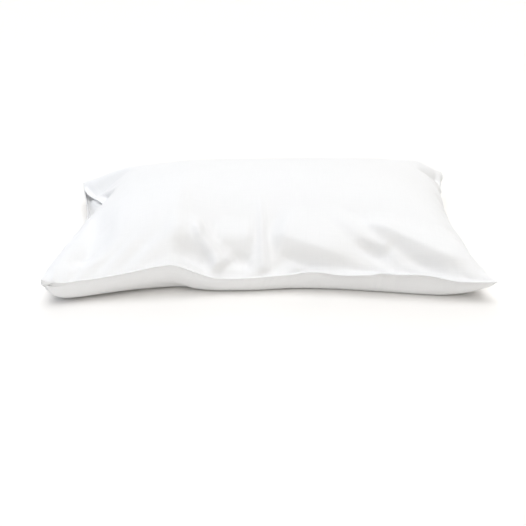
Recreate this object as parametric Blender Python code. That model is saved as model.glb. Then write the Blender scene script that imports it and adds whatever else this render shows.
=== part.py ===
"""A white cotton pillowcase lying on its back, filled with its pillow: one closed, stuffed solid.

Metres, +Z up. X runs along the pillow from the mouth end (left) to the folded end (right), and the
front long seam is at -Y. The underside is flat at z = 0 where the pillow lies on its surface.
The cloth is described on a square: s runs from -1 at the mouth end to +1 at the folded end, and t
from -1 at the front seam to +1 at the back seam.
"""

import math

import bmesh
import bpy
import numpy as np

# ---- Driving sizes, in metres ----
CASE_LENGTH = 0.760          # the case laid flat, mouth to fold
CASE_DEPTH = 0.510           # the case laid flat, seam to seam
LENGTH_TAKE_UP = 0.030       # how much shorter the filled case is, corner to corner
DEPTH_TAKE_UP = 0.030
CROWN_RISE = 0.108           # the crown over the level of the seams
BELLY_DROP = 0.085           # how far the stuffing would sink under the seams with no surface below
FLOOR_ROUNDING = 0.010       # height over which the belly eases into its flat

# A larger squareness keeps the crown level for longer before it falls to the seams.
CROWN_SQUARENESS_S = 4.0
CROWN_SQUARENESS_T = 2.4
BELLY_SQUARENESS = 3.0

# Cells of the cloth's grid. EDGE_CROWDING is the share of the spacing that gathers at the seams, and
# FRONT_CROWDING how far the cells also gather towards the front, where the folds are.
CELLS_S = 74
CELLS_T = 48
EDGE_CROWDING = 0.70
FRONT_CROWDING = 0.22

# The cloth's finish: linear colour and alpha, and how matte it is.
COTTON_COLOUR = (0.86, 0.86, 0.84, 1.0)
COTTON_ROUGHNESS = 0.9

# ---- The four sides, as they lie ----
# along: place on the side, -1 to +1. inset: how far the side is drawn in there. height: the seam's
# height over the surface. crown, belly: how the cloth leaves the seam above and below it, round and
# upright where the value is small, and thin and slanting where it is over 1.
FRONT_SIDE = (
    # along   inset   height  crown  belly
    (-1.00,   0.002,  0.043,  0.80,  0.16),
    (-0.94,   0.000,  0.042,  0.80,  0.20),
    (-0.80,   0.010,  0.042,  0.85,  0.36),
    (-0.62,   0.020,  0.050,  0.92,  0.50),
    (-0.50,   0.026,  0.058,  0.92,  0.55),
    (-0.42,   0.028,  0.059,  0.92,  0.58),
    (-0.35,   0.031,  0.044,  0.95,  0.60),
    (-0.27,   0.033,  0.033,  0.95,  0.60),
    (-0.05,   0.037,  0.030,  0.95,  0.60),
    (+0.08,   0.041,  0.033,  0.95,  0.58),
    (+0.20,   0.041,  0.039,  0.95,  0.54),
    (+0.50,   0.032,  0.037,  0.92,  0.42),
    (+0.80,   0.014,  0.036,  0.85,  0.30),
    (+1.00,   0.000,  0.034,  0.80,  0.36),
)
BACK_SIDE = (
    (-1.00,   0.000,  0.041,  0.50,  0.50),
    (-0.80,   0.010,  0.044,  0.42,  0.50),
    (-0.40,   0.030,  0.044,  0.48,  0.55),
    (+0.00,   0.034,  0.044,  0.50,  0.60),
    (+0.40,   0.030,  0.044,  0.48,  0.55),
    (+0.80,   0.012,  0.048,  0.44,  0.50),
    (+1.00,   0.000,  0.053,  0.75,  0.50),
)
MOUTH_SIDE = (
    (-1.00,   0.000,  0.043,  0.60,  0.20),
    (-0.90,   0.001,  0.043,  0.62,  0.26),
    (-0.50,   0.018,  0.044,  0.78,  0.40),
    (+0.00,   0.030,  0.044,  1.05,  0.45),
    (+0.35,   0.028,  0.040,  1.60,  0.45),
    (+0.65,   0.016,  0.036,  1.60,  0.45),
    (+0.85,   0.006,  0.038,  0.82,  0.45),
    (+1.00,   0.000,  0.041,  0.55,  0.50),
)
FOLD_SIDE = (
    (-1.00,   0.000,  0.034,  0.60,  0.40),
    (-0.75,   0.016,  0.037,  0.58,  0.40),
    (-0.40,   0.034,  0.041,  0.56,  0.45),
    (+0.10,   0.038,  0.044,  0.54,  0.45),
    (+0.50,   0.027,  0.046,  0.50,  0.45),
    (+0.80,   0.014,  0.050,  0.50,  0.45),
    (+1.00,   0.000,  0.053,  0.75,  0.50),
)
INSET, HEIGHT, CROWN, BELLY = range(4)

# ---- Folds of the upper face ----
# start, end: where the fold's line begins and ends on the cloth. rise: how far it stands proud, or
# lies sunk where it is negative. left, right: how far it reaches on each side of its end, for someone
# who walks from its start to its end. opening: the share of that reach that it has at its start.
# crest: 0.5 for a round fold, nearer 0 for a creased one. bow: how far its middle bends to the left.
# grow, die: the shares of its length over which it rises and dies out.
FOLDS = (
    # start x, y, z            end x, y, z              rise     left   right opening crest bow   grow  die
    # The long pull to the front right corner, and the hollow in front of it.
    (0.146, -0.147, 0.111,     0.358, -0.232, 0.036,    0.0170,  0.066, 0.042, 0.35, 0.35, 0.000, 0.25, 0.35),
    (0.205, -0.197, 0.064,     0.335, -0.226, 0.042,   -0.0080,  0.020, 0.026, 0.60, 0.50, 0.000, 0.40, 0.35),
    # The shelf from the middle of the front, and the hollow under it.
    (-0.004, -0.158, 0.092,    0.184, -0.206, 0.044,    0.0170,  0.070, 0.042, 0.90, 0.35, 0.000, 0.18, 0.55),
    (0.010, -0.192, 0.060,     0.155, -0.205, 0.044,   -0.0080,  0.026, 0.022, 0.90, 0.50, 0.000, 0.16, 0.35),
    # The soft tongue between the two, and the pocket below it.
    (0.095, -0.124, 0.125,     0.200, -0.190, 0.072,    0.0080,  0.036, 0.030, 0.60, 0.40,-0.006, 0.60, 0.20),
    (0.132, -0.174, 0.080,     0.204, -0.198, 0.058,   -0.0120,  0.020, 0.022, 0.70, 0.50, 0.000, 0.50, 0.40),
    # The ridge left of the middle, and the hollows on its left and right.
    (-0.136, -0.130, 0.122,   -0.067, -0.199, 0.040,    0.0100,  0.026, 0.026, 0.70, 0.50, 0.000, 0.35, 0.30),
    (-0.182, -0.174, 0.093,   -0.092, -0.199, 0.044,   -0.0130,  0.022, 0.030, 0.80, 0.50, 0.000, 0.35, 0.30),
    (-0.054, -0.140, 0.104,   -0.043, -0.197, 0.043,   -0.0150,  0.028, 0.034, 1.20, 0.50, 0.000, 0.60, 0.35),
    # The line pressed down the middle, and the tuck beside it that meets the front seam.
    (-0.012, -0.070, 0.146,   -0.012, -0.206, 0.034,    0.0070,  0.020, 0.019, 0.45, 0.35, 0.000, 0.70, 0.30),
    (0.014, -0.188, 0.058,     0.064, -0.208, 0.038,    0.0060,  0.018, 0.016, 0.70, 0.30, 0.000, 0.40, 0.20),
    # The soft valley by the mouth, and the slack cloth at the mouth's back corner.
    (-0.272, -0.030, 0.102,   -0.306, -0.224, 0.050,   -0.0100,  0.034, 0.030, 0.80, 0.50, 0.012, 0.60, 0.25),
    (-0.250, 0.165, 0.092,    -0.372, 0.180, 0.044,    -0.0140,  0.030, 0.045, 0.60, 0.50, 0.000, 0.50, 0.08),
    # The pocket behind the mouth's hem.
    (-0.331, 0.170, 0.046,    -0.326, 0.050, 0.046,    -0.0180,  0.030, 0.024, 1.00, 0.50, 0.000, 0.30, 0.30),
    # The gather at the front right corner.
    (0.300, -0.120, 0.090,     0.352, -0.224, 0.040,   -0.0040,  0.026, 0.022, 1.00, 0.50, 0.004, 0.25, 0.25),
)
FOLD_START, FOLD_END = slice(0, 3), slice(3, 6)
FOLD_RISE, FOLD_LEFT, FOLD_RIGHT, FOLD_OPENING, FOLD_CREST, FOLD_BOW, FOLD_GROW, FOLD_DIE = range(6, 14)
FOOT = 0.5                   # the share of a fold's side over which it eases into the cloth beside it
FOLD_GRASP = 0.075           # a fold leaves cloth alone that lies farther off its line than this
FOLD_GRASP_EASE = 0.030
SEAM_FADE = 0.018            # how near the seams the folds die out
NORMAL_STEP = 1e-3           # step on the cloth over which its slope is taken


def eased(table, along, column):
    """One column of a side's table at the places in along, on a smooth curve through its rows."""
    rows = np.array(table, float)
    places, values = rows[:, 0], rows[:, 1 + column]
    slopes = np.gradient(values, places)
    along = np.asarray(along, float)
    row = np.clip(np.searchsorted(places, along, side="right") - 1, 0, len(places) - 2)
    span = places[row + 1] - places[row]
    part = (along - places[row]) / span
    near, far = values[row], values[row + 1]
    return (
        near * (1 + 2 * part) * (1 - part) ** 2
        + slopes[row] * span * part * (1 - part) ** 2
        + far * part**2 * (3 - 2 * part)
        - slopes[row + 1] * span * part**2 * (1 - part)
    )


def seam_level(s, t):
    """Height of the layer midway between the two faces, spanned between the four seams."""
    front, back = eased(FRONT_SIDE, s, HEIGHT), eased(BACK_SIDE, s, HEIGHT)
    mouth, fold = eased(MOUTH_SIDE, t, HEIGHT), eased(FOLD_SIDE, t, HEIGHT)
    to_back, to_fold = (1 + t) / 2, (1 + s) / 2
    front_corners = (1 - to_fold) * FRONT_SIDE[0][2] + to_fold * FRONT_SIDE[-1][2]
    back_corners = (1 - to_fold) * BACK_SIDE[0][2] + to_fold * BACK_SIDE[-1][2]
    return (
        (1 - to_back) ** 3 * (front - front_corners) + to_back**3 * (back - back_corners)
        + (1 - to_fold) * mouth + to_fold * fold
    )


def plan(s, t):
    """Where a place on the cloth lies, seen from above."""
    half_length = (CASE_LENGTH - LENGTH_TAKE_UP) / 2
    half_depth = (CASE_DEPTH - DEPTH_TAKE_UP) / 2
    mouth, fold = eased(MOUTH_SIDE, t, INSET), eased(FOLD_SIDE, t, INSET)
    front, back = eased(FRONT_SIDE, s, INSET), eased(BACK_SIDE, s, INSET)
    x = s * half_length + mouth * ((1 - s) / 2) ** 3 - fold * ((1 + s) / 2) ** 3
    y = t * half_depth + front * ((1 - t) / 2) ** 3 - back * ((1 + t) / 2) ** 3
    return x, y


def fullness(s, t, squareness_s, squareness_t, column):
    """Share of the full height that the stuffing fills at a place: 0 on the seams, 1 at the middle."""
    across = np.clip(1 - np.abs(s) ** squareness_s, 0, 1)
    deep = np.clip(1 - np.abs(t) ** squareness_t, 0, 1)
    to_back, to_fold = (1 + t) / 2, (1 + s) / 2
    across_power = (
        (1 - to_fold) * eased(MOUTH_SIDE, t, column) + to_fold * eased(FOLD_SIDE, t, column)
    )
    deep_power = (
        (1 - to_back) * eased(FRONT_SIDE, s, column) + to_back * eased(BACK_SIDE, s, column)
    )
    return across**across_power * deep**deep_power


def rested(height):
    """Eases a height that would sink below the surface into a flat at zero."""
    eased_in = (height + FLOOR_ROUNDING) ** 2 / (4 * FLOOR_ROUNDING)
    lifted = np.where(height > FLOOR_ROUNDING, height, eased_in)
    return np.where(height < -FLOOR_ROUNDING, 0.0, lifted)


def smooth_top(s, t):
    """Points of the upper face before its folds."""
    crown = fullness(s, t, CROWN_SQUARENESS_S, CROWN_SQUARENESS_T, CROWN)
    x, y = plan(s, t)
    return np.stack([x, y, seam_level(s, t) + CROWN_RISE * crown], axis=-1)


def belly(s, t):
    """Points of the lower face, which lies flat where the pillow rests."""
    drop = BELLY_DROP * fullness(s, t, BELLY_SQUARENESS, BELLY_SQUARENESS, BELLY)
    level = seam_level(s, t)
    x, y = plan(s, t)
    return np.stack([x, y, np.minimum(rested(level - drop), level)], axis=-1)


def normals(surface, s, t):
    """Which way a face of the case looks, from its slope on both sides of each place."""
    left, right = np.clip(s - NORMAL_STEP, -1, 1), np.clip(s + NORMAL_STEP, -1, 1)
    near, far = np.clip(t - NORMAL_STEP, -1, 1), np.clip(t + NORMAL_STEP, -1, 1)
    across = np.cross(surface(right, t) - surface(left, t), surface(s, far) - surface(s, near))
    return across / np.linalg.norm(across, axis=-1, keepdims=True)


def from_seam(surface, s, t):
    """How far each place is from the nearest of the four sides."""
    here = surface(s, t)
    edge = np.ones_like(s)
    sides = (surface(s, -edge), surface(s, edge), surface(-edge, t), surface(edge, t))
    return np.min([np.linalg.norm(here - side, axis=-1) for side in sides], axis=0)


def swell(part):
    """0 to 1 as part goes from 0 to 1, level at both ends."""
    part = np.clip(part, 0, 1)
    return part**2 * (3 - 2 * part)


def fallen(part, crest):
    """1 to 0 as part goes from 0 to 1, rounded over the share crest at its start and FOOT at its end."""
    part = np.clip(part, 0, 1)
    near_crest = part**2 / (2 * crest)
    near_foot = 1 - (crest + FOOT) / 2 - (1 - part) ** 2 / (2 * FOOT)
    between = part - crest / 2
    drop = np.where(part < crest, near_crest, np.where(part > 1 - FOOT, near_foot, between))
    return 1 - drop / (1 - (crest + FOOT) / 2)


def fold_height(points, facing, fold):
    """How far one fold lifts each point of the face along its normal."""
    start, end = np.array(fold[FOLD_START]), np.array(fold[FOLD_END])
    length = np.linalg.norm(end - start)
    run = (end - start) / length
    away = points - start
    along = away @ run / length
    left_of_line = np.sum(away * np.cross(facing, run), axis=-1)
    left_of_line -= fold[FOLD_BOW] * 4 * along * (1 - along)
    reach = np.where(left_of_line > 0, fold[FOLD_LEFT], fold[FOLD_RIGHT])
    reach *= fold[FOLD_OPENING] + (1 - fold[FOLD_OPENING]) * np.clip(along, 0, 1)
    ends = swell(along / fold[FOLD_GROW]) * swell((1 - along) / fold[FOLD_DIE])
    near = swell((FOLD_GRASP - np.abs(np.sum(away * facing, axis=-1))) / FOLD_GRASP_EASE)
    return fold[FOLD_RISE] * ends * near * fallen(np.abs(left_of_line) / reach, fold[FOLD_CREST])


def folded_top(s, t):
    """Points of the upper face with its folds, which die out at the seams."""
    points = smooth_top(s, t)
    facing = normals(smooth_top, s, t)
    lift = sum(fold_height(points, facing, fold) for fold in FOLDS)
    lift = lift * swell(from_seam(smooth_top, s, t) / SEAM_FADE)
    return points + facing * lift[:, None]


def crowded(place, edge_crowding=EDGE_CROWDING, front_crowding=0.0):
    """Moves evenly spaced places towards the seams, where the cloth turns most, and to the front."""
    place = (1 - edge_crowding) * place + edge_crowding * np.sin(place * math.pi / 2)
    return place - front_crowding * (1 - place**2)


def layer(mesh, surface):
    """One face of the case as a grid of cells. Returns its vertices and those of them on the seams."""
    made = bmesh.ops.create_grid(
        mesh, x_segments=CELLS_S, y_segments=CELLS_T, size=1.0
    )
    verts = made["verts"]
    places = np.array([v.co for v in verts])
    s, t = crowded(places[:, 0]), crowded(places[:, 1], front_crowding=FRONT_CROWDING)
    for vert, point in zip(verts, surface(s, t)):
        vert.co = point
    on_seam = np.max(np.abs(places[:, :2]), axis=1) > 1 - 1e-6
    return verts, on_seam


def pillowcase_mesh():
    mesh = bmesh.new()
    upper, on_seam = layer(mesh, folded_top)
    # Each cell is halved along the way that the main folds run, so that their crests stay smooth.
    bmesh.ops.triangulate(mesh, faces=list(mesh.faces), quad_method="ALTERNATE")
    lower, _ = layer(mesh, belly)
    under = {face for vert in lower for face in vert.link_faces}
    bmesh.ops.reverse_faces(mesh, faces=list(under))
    seam = {low: high for low, high, sewn in zip(lower, upper, on_seam) if sewn}
    bmesh.ops.weld_verts(mesh, targetmap=seam)
    return mesh


def white_cotton():
    material = bpy.data.materials.new("white cotton")
    material.use_nodes = True
    finish = material.node_tree.nodes["Principled BSDF"].inputs
    finish["Base Color"].default_value = COTTON_COLOUR
    finish["Roughness"].default_value = COTTON_ROUGHNESS
    finish["Metallic"].default_value = 0.0
    return material


def main():
    for old in list(bpy.data.objects):
        bpy.data.objects.remove(old)
    mesh = pillowcase_mesh()
    data = bpy.data.meshes.new("pillowcase")
    mesh.to_mesh(data)
    mesh.free()
    data.shade_smooth()
    data.materials.append(white_cotton())
    pillowcase = bpy.data.objects.new("pillowcase", data)
    bpy.context.scene.collection.objects.link(pillowcase)


main()
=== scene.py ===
"""The looks of a white percale pillowcase lying on its back, filled with its pillow.

Metres, +Z up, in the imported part's frame. X runs along the pillow from the hemmed mouth (left) to the
folded end (right), and the front long seam is at -Y. The laid shape is described on a square: s runs
from -1 at the mouth to +1 at the fold, and t from -1 at the front seam to +1 at the back seam. The
cloth itself is measured on its flat cut, u along the length and v across, from the cut's middle.
"""

import math

import bpy
import numpy as np
from mathutils import Matrix, Vector


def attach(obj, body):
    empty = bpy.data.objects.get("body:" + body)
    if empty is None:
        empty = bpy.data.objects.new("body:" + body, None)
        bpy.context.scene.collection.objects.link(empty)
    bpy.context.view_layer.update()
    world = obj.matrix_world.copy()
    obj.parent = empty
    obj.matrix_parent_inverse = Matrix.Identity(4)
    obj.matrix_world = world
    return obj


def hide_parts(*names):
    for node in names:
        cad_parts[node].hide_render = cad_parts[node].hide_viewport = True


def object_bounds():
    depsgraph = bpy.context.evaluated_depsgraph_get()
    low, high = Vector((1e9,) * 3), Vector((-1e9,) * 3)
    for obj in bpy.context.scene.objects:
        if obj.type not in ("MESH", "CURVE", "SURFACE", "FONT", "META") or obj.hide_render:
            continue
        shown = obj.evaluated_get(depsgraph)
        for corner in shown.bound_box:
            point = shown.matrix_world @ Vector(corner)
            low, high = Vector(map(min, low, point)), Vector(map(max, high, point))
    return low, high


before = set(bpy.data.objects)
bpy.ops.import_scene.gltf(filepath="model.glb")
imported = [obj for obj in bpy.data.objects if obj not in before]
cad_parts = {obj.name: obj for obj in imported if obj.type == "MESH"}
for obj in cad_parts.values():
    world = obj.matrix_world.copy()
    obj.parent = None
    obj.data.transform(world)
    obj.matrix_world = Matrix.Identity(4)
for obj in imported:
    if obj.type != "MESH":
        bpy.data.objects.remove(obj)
CAD_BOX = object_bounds()

# ---- Driving sizes, in metres ----
CUT_LENGTH = 0.760           # the case laid flat, mouth to fold
CUT_DEPTH = 0.510            # the case laid flat, seam to seam
CAD_LOW, CAD_HIGH = CAD_BOX
HALF_LENGTH = (CAD_HIGH.x - CAD_LOW.x) / 2
HALF_DEPTH = (CAD_HIGH.y - CAD_LOW.y) / 2
CROWN_RISE = 0.108           # the crown over the level of the seams
BELLY_DROP = 0.085           # how far the stuffing would sink under the seams with no surface below
FLOOR_ROUNDING = 0.010       # height over which the belly eases into its flat

# A larger squareness keeps the crown level for longer before it falls to the seams.
CROWN_SQUARENESS_S = 4.0
CROWN_SQUARENESS_T = 2.4
BELLY_SQUARENESS = 3.0

# ---- The four sides, as they lie ----
# along: place on the side, -1 to +1. inset: how far the side is drawn in there. height: the seam's
# height over the surface. crown, belly: how the cloth leaves the seam above and below it, round and
# upright where the value is small, and thin and slanting where it is over 1.
FRONT_SIDE = (
    # along   inset   height  crown  belly
    (-1.00,   0.002,  0.043,  0.80,  0.16),
    (-0.94,   0.000,  0.042,  0.80,  0.20),
    (-0.80,   0.010,  0.042,  0.85,  0.36),
    (-0.62,   0.020,  0.050,  0.92,  0.50),
    (-0.50,   0.026,  0.058,  0.92,  0.55),
    (-0.42,   0.028,  0.059,  0.92,  0.58),
    (-0.35,   0.031,  0.044,  0.95,  0.60),
    (-0.27,   0.033,  0.033,  0.95,  0.60),
    (-0.05,   0.037,  0.030,  0.95,  0.60),
    (+0.08,   0.041,  0.033,  0.95,  0.58),
    (+0.20,   0.041,  0.039,  0.95,  0.54),
    (+0.50,   0.032,  0.037,  0.92,  0.38),
    (+0.80,   0.014,  0.036,  0.85,  0.26),
    (+1.00,   0.000,  0.034,  0.80,  0.32),
)
BACK_SIDE = (
    (-1.00,   0.000,  0.041,  0.50,  0.50),
    (-0.80,   0.010,  0.044,  0.42,  0.50),
    (-0.40,   0.030,  0.044,  0.48,  0.55),
    (+0.00,   0.034,  0.044,  0.50,  0.60),
    (+0.40,   0.030,  0.044,  0.48,  0.55),
    (+0.80,   0.012,  0.048,  0.44,  0.50),
    (+1.00,   0.000,  0.053,  0.75,  0.50),
)
MOUTH_SIDE = (
    (-1.00,   0.000,  0.043,  0.60,  0.20),
    (-0.90,   0.001,  0.043,  0.62,  0.26),
    (-0.50,   0.018,  0.044,  0.78,  0.40),
    (+0.00,   0.030,  0.044,  1.05,  0.45),
    (+0.35,   0.028,  0.040,  1.30,  0.45),
    (+0.65,   0.016,  0.036,  1.30,  0.45),
    (+0.85,   0.006,  0.038,  0.82,  0.45),
    (+1.00,   0.000,  0.041,  0.55,  0.50),
)
FOLD_SIDE = (
    (-1.00,   0.000,  0.034,  0.60,  0.40),
    (-0.75,   0.016,  0.037,  0.58,  0.40),
    (-0.40,   0.034,  0.041,  0.56,  0.45),
    (+0.10,   0.038,  0.044,  0.54,  0.45),
    (+0.50,   0.027,  0.046,  0.50,  0.45),
    (+0.80,   0.014,  0.050,  0.50,  0.45),
    (+1.00,   0.000,  0.053,  0.75,  0.50),
)
INSET, HEIGHT, CROWN, BELLY = range(4)

# ---- Folds of the upper face ----
# start, end: where the fold's line begins and ends on the cloth. rise: how far it stands proud, or
# lies sunk where it is negative. left, right: how far it reaches on each side of its end, for someone
# who walks from its start to its end. opening: the share of that reach that it has at its start.
# crest: 0.5 for a round fold, nearer 0 for a creased one. bow: how far its middle bends to the left.
# grow, die: the shares of its length over which it rises and dies out.
FOLDS = (
    # start x, y, z            end x, y, z              rise     left   right opening crest bow   grow  die
    # The long pull to the front right corner, and the hollow in front of it.
    (0.146, -0.147, 0.111,     0.358, -0.232, 0.036,    0.0200,  0.085, 0.042, 0.35, 0.10, 0.000, 0.25, 0.35),
    (0.205, -0.197, 0.064,     0.335, -0.226, 0.042,   -0.0080,  0.020, 0.026, 0.60, 0.50, 0.000, 0.40, 0.35),
    # The shelf from the middle of the front, and the hollow under it.
    (-0.004, -0.158, 0.092,    0.184, -0.206, 0.044,    0.0200,  0.090, 0.042, 0.90, 0.10, 0.000, 0.18, 0.55),
    (0.010, -0.192, 0.060,     0.155, -0.205, 0.044,   -0.0080,  0.026, 0.022, 0.90, 0.50, 0.000, 0.16, 0.35),
    # The soft tongue between the two, and the pocket below it.
    (0.095, -0.124, 0.125,     0.200, -0.190, 0.072,    0.0080,  0.036, 0.030, 0.60, 0.30,-0.006, 0.60, 0.12),
    (0.132, -0.174, 0.080,     0.204, -0.198, 0.058,   -0.0120,  0.020, 0.022, 0.70, 0.50, 0.000, 0.50, 0.40),
    # The ridge left of the middle, and the small shelf with its hollow on each side of it.
    (-0.140, -0.138, 0.116,   -0.078, -0.199, 0.041,    0.0130,  0.032, 0.024, 0.70, 0.35, 0.000, 0.45, 0.12),
    (-0.178, -0.158, 0.094,   -0.108, -0.166, 0.086,    0.0070,  0.040, 0.030, 1.00, 0.20, 0.000, 0.40, 0.20),
    (-0.172, -0.184, 0.078,   -0.088, -0.196, 0.050,   -0.0110,  0.028, 0.018, 1.00, 0.50, 0.000, 0.45, 0.25),
    (-0.100, -0.163, 0.088,   -0.020, -0.166, 0.084,    0.0090,  0.045, 0.030, 1.00, 0.20, 0.000, 0.35, 0.25),
    (-0.072, -0.189, 0.054,   -0.024, -0.189, 0.052,   -0.0100,  0.024, 0.018, 1.00, 0.50, 0.000, 0.45, 0.35),
    # The line pressed down the middle, and the tuck beside it that meets the front seam.
    (-0.012, -0.070, 0.146,   -0.012, -0.206, 0.034,    0.0080,  0.020, 0.019, 0.45, 0.25, 0.000, 0.80, 0.10),
    (0.014, -0.188, 0.058,     0.064, -0.208, 0.038,    0.0060,  0.018, 0.016, 0.70, 0.30, 0.000, 0.40, 0.20),
    # The soft valley by the mouth, and the slack cloth at the mouth's back corner.
    (-0.276, -0.060, 0.100,   -0.316, -0.226, 0.048,   -0.0160,  0.060, 0.034, 0.80, 0.50, 0.010, 0.50, 0.20),
    (-0.250, 0.165, 0.092,    -0.372, 0.180, 0.044,    -0.0140,  0.030, 0.045, 0.60, 0.50, 0.000, 0.50, 0.08),
    # The pull to the back right corner and the hollow before it.
    (0.250, 0.150, 0.120,      0.362, 0.226, 0.055,     0.0110,  0.044, 0.024, 1.00, 0.15, 0.000, 0.50, 0.06),
    (0.290, 0.120, 0.108,      0.354, 0.198, 0.058,    -0.0110,  0.024, 0.030, 0.80, 0.50, 0.000, 0.40, 0.12),
    # The gather at the front right corner, and those along the back seam.
    (0.300, -0.120, 0.090,     0.352, -0.224, 0.040,   -0.0040,  0.026, 0.022, 1.00, 0.50, 0.004, 0.25, 0.25),
    (-0.200, 0.196, 0.100,    -0.240, 0.226, 0.056,    -0.0040,  0.026, 0.026, 1.00, 0.50, 0.000, 0.25, 0.25),
    (-0.060, 0.190, 0.106,    -0.075, 0.206, 0.056,    -0.0040,  0.026, 0.026, 1.00, 0.50, 0.000, 0.25, 0.25),
    (0.090, 0.190, 0.106,      0.100, 0.208, 0.056,    -0.0040,  0.026, 0.026, 1.00, 0.50, 0.000, 0.25, 0.25),
    (0.215, 0.194, 0.106,      0.245, 0.222, 0.060,    -0.0040,  0.024, 0.024, 1.00, 0.50, 0.000, 0.25, 0.25),
)
FOLD_START, FOLD_END = slice(0, 3), slice(3, 6)
FOLD_RISE, FOLD_LEFT, FOLD_RIGHT, FOLD_OPENING, FOLD_CREST, FOLD_BOW, FOLD_GROW, FOLD_DIE = range(6, 14)
FOOT = 0.5                   # the share of a fold's side over which it eases into the cloth beside it
FOLD_GRASP = 0.075           # a fold leaves cloth alone that lies farther off its line than this
FOLD_GRASP_EASE = 0.030
SEAM_FADE = 0.010            # how near the seams the folds die out
NORMAL_STEP = 1e-3           # step on the cloth over which its slope is taken

# ---- The mouth ----
# along: place on the mouth side. back, rise: how far the upper lip is drawn back over the pillow and
# lifted. drop: how far the lower lip hangs. depth: how far in the pillow closes the mouth.
MOUTH = (
    # along   back    rise    drop    depth
    (-1.00,   0.000,  0.000,  0.000,  0.004),
    (-0.85,   0.000,  0.000,  0.001,  0.014),
    (-0.50,   0.001,  0.001,  0.001,  0.018),
    (-0.15,   0.006,  0.002,  0.003,  0.018),
    (+0.10,   0.020,  0.003,  0.006,  0.020),
    (+0.33,   0.034,  0.005,  0.010,  0.024),
    (+0.55,   0.022,  0.005,  0.008,  0.020),
    (+0.74,   0.004,  0.002,  0.003,  0.010),
    (+0.88,   0.000,  0.000,  0.000,  0.003),
    (+1.00,   0.000,  0.000,  0.000,  0.002),
)
BACK, RISE, DROP, DEPTH = range(4)
HEM_WIDTH = 0.025            # the turned hem round the mouth
HEM_STEP = 0.0006            # how far the hem's two more layers raise the cloth
HEM_EDGE = 0.0016            # the width over which the hem's inner edge steps down
HEM_FADE = 0.02              # the share of half the depth over which the hem runs out at the long seams
HEM_THICK = 0.0016           # the thickness of a lip
LIP_FADE = 0.08              # the share of half the depth over which a lip thins out at the long seams
LIP_REACH = 0.048            # how far in from the mouth the lips give
LIP_CURL = 4                 # larger to keep the upper lip's rise closer to the mouth
LINING_RINGS, PILLOW_RINGS = 8, 5
LINING_CUT = 0.1             # length of the lining's own cut, for its weave
PILLOW_BULGE = 0.35          # how far the pillow's end stands out inside the mouth, as a share of depth

# ---- Cells of the cloth: (middle, width, how many times denser) where they gather ----
FINE_COLUMNS, FINE_ROWS = 262, 170
COLUMN_GATHERS = (
    (-CUT_LENGTH / 2, 0.010, 3.0),
    (-CUT_LENGTH / 2 + HEM_WIDTH, 0.004, 1.5),
    (-0.008, 0.006, 3.0),
    (CUT_LENGTH / 2, 0.010, 2.0),
)
ROW_GATHERS = (
    (-CUT_DEPTH / 2, 0.010, 5.0),
    (CUT_DEPTH / 2, 0.010, 5.0),
)
SIM_COLUMNS, SIM_ROWS = 112, 76
SIM_COLUMN_GATHERS = ((-CUT_LENGTH / 2, 0.03, 0.8), (CUT_LENGTH / 2, 0.03, 0.8))
SIM_ROW_GATHERS = ((-CUT_DEPTH / 2, 0.03, 1.0), (CUT_DEPTH / 2, 0.03, 1.0))
CUT_SAMPLES = 4001           # places along the cut at which its cells' density is summed
LAID_SAMPLES = 301           # lines of the laid shape, each way, along which its length is measured
SMALLEST_CELL = 1e-12        # square metres. Keeps a cell without a size from a division by zero

# ---- The cloth's own settling ----
SIM_FRAMES = 25
MOST_MOVE = 0.007            # the settling is eased off towards this
# How firmly the pillow holds the cloth: by the seams, on its crown, at the mouth, in its main folds, on
# the sewn seams themselves and on its underside.
HOLD_EDGE, HOLD_CROWN, HOLD_MOUTH, HOLD_FOLD, HOLD_SEAM, HOLD_BELLY = 0.1, 1.0, 0.5, 0.95, 0.6, 0.5
HOLD_REACH = 0.160           # how far in from the seams the hold grows
HOLD_MOUTH_REACH = 0.020     # how far in from the mouth its own hold goes
HELD_FOLD = 0.003            # how far a fold stands out where it is held in full
FLOOR_TOUCH = 1e-4           # cloth under this height lies on the floor, and stays there
REST_GAP = 0.002             # how far apart the two faces of the flat cut lie
NO_MERGE = 1e-6              # a merging distance that merges nothing
SHORTEST_MOVE = 1e-9         # keeps a cell that didn't move from a division by zero
CLOTH = {
    "quality": 6,
    "mass": 0.15,
    "tension_stiffness": 40,
    "compression_stiffness": 10,
    "shear_stiffness": 1,
    "bending_stiffness": 12,
    "pin_stiffness": 1.0,
    "air_damping": 2.0,
    "use_pressure": True,
    "uniform_pressure_force": 0.3,
}

# ---- The sewn long seams ----
SEAM_LIP = 0.0095            # how far the sewn edge stands out
SEAM_LIP_CLOTH = 0.0100      # how much cloth each face gives to it
# along: place on a long seam. front, back: the share of its full width with which the edge shows.
SEAM_SHOWS = (
    # along   front  back
    (-1.00,   0.00,  0.05),
    (-0.93,   0.15,  0.50),
    (-0.45,   0.40,  1.00),
    (+0.00,   0.30,  1.00),
    (+0.14,   0.60,  1.00),
    (+0.22,   1.00,  1.00),
    (+0.92,   1.00,  0.90),
    (+1.00,   0.45,  0.45),
)
SHOWS_FRONT, SHOWS_BACK = range(2)
SEAM_EASE = 0.020            # how far in the faces have taken up their own line again
SEAM_THICK = 0.0014          # half the sewn edge's thickness

# ---- The small gathers beside the long seams ----
PUCKER_PITCH = 0.013         # one from the next
PUCKER_RISE = 0.0005
PUCKER_REACH = 0.028         # how far they run into the cloth
# Their pitch, strength and reach change along the seam, in waves of these lengths.
PITCH_WAVE, STRENGTH_WAVE, REACH_WAVE = 0.067, 0.171, 0.043
PITCH_DRIFT = 1.6            # radians by which a gather strays from its even place
SECOND_SHARE = 0.6           # the height of a second, coarser row of gathers among the first
SECOND_PITCH = PUCKER_PITCH * 1.73
SECOND_SLANT = 40            # radians by which the second row shifts in a metre into the cloth
LEAST_STRENGTH, LEAST_REACH = 0.10, 0.40     # the least shares of their rise and of their reach
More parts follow.
